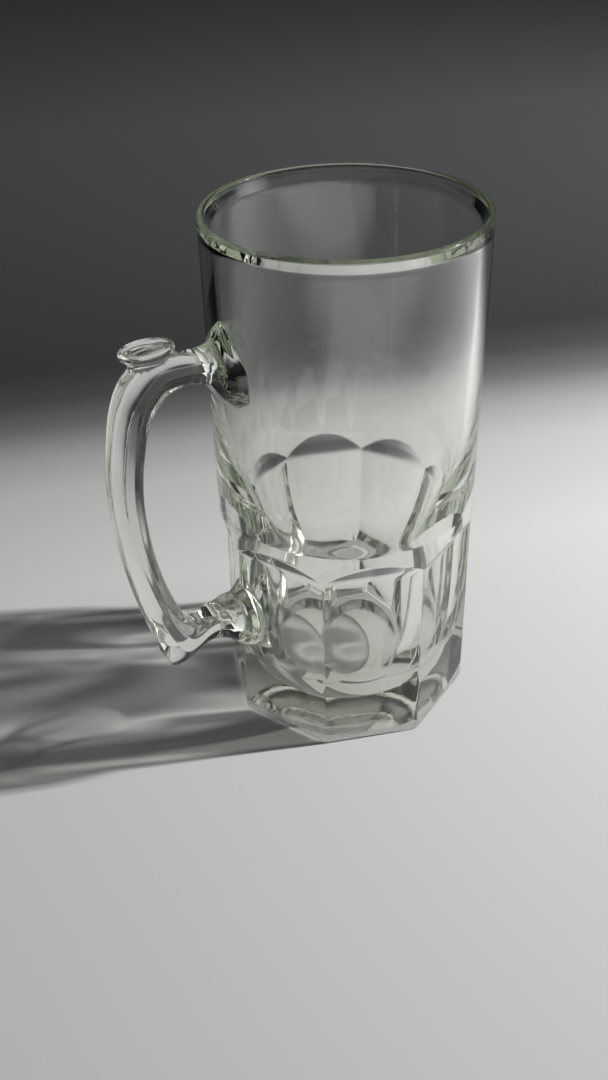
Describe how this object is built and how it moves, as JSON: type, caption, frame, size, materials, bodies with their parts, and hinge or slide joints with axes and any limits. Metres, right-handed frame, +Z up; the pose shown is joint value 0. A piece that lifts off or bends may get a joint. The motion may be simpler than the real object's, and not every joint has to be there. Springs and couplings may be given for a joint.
{
  "type": "glass beer mug",
  "caption": "Tall thick-walled glass beer mug with a smooth round upper body, arched flat panels pressed into its lower half and a heavy foot, and a fused bar handle with an oval thumb rest.",
  "frame": {"origin": "centre of the foot's underside, on the bowl's axis, in the plane that the mug stands on", "axes": "+Z up along the bowl's axis, the handle stands out towards -X, and Y runs across the handle"},
  "size_m": [0.1476, 0.1008, 0.203],
  "materials": {
    "bowl_glass": "clear pressed soda-lime glass, fire-polished, with a faint green-grey tint in its thick parts",
    "handle_glass": "clear pressed soda-lime glass, fire-polished, slightly greener where it is thick"
  },
  "bodies": {
    "root": {"bowl": "bowl_glass", "handle": "handle_glass"}
  },
  "joints": []
}
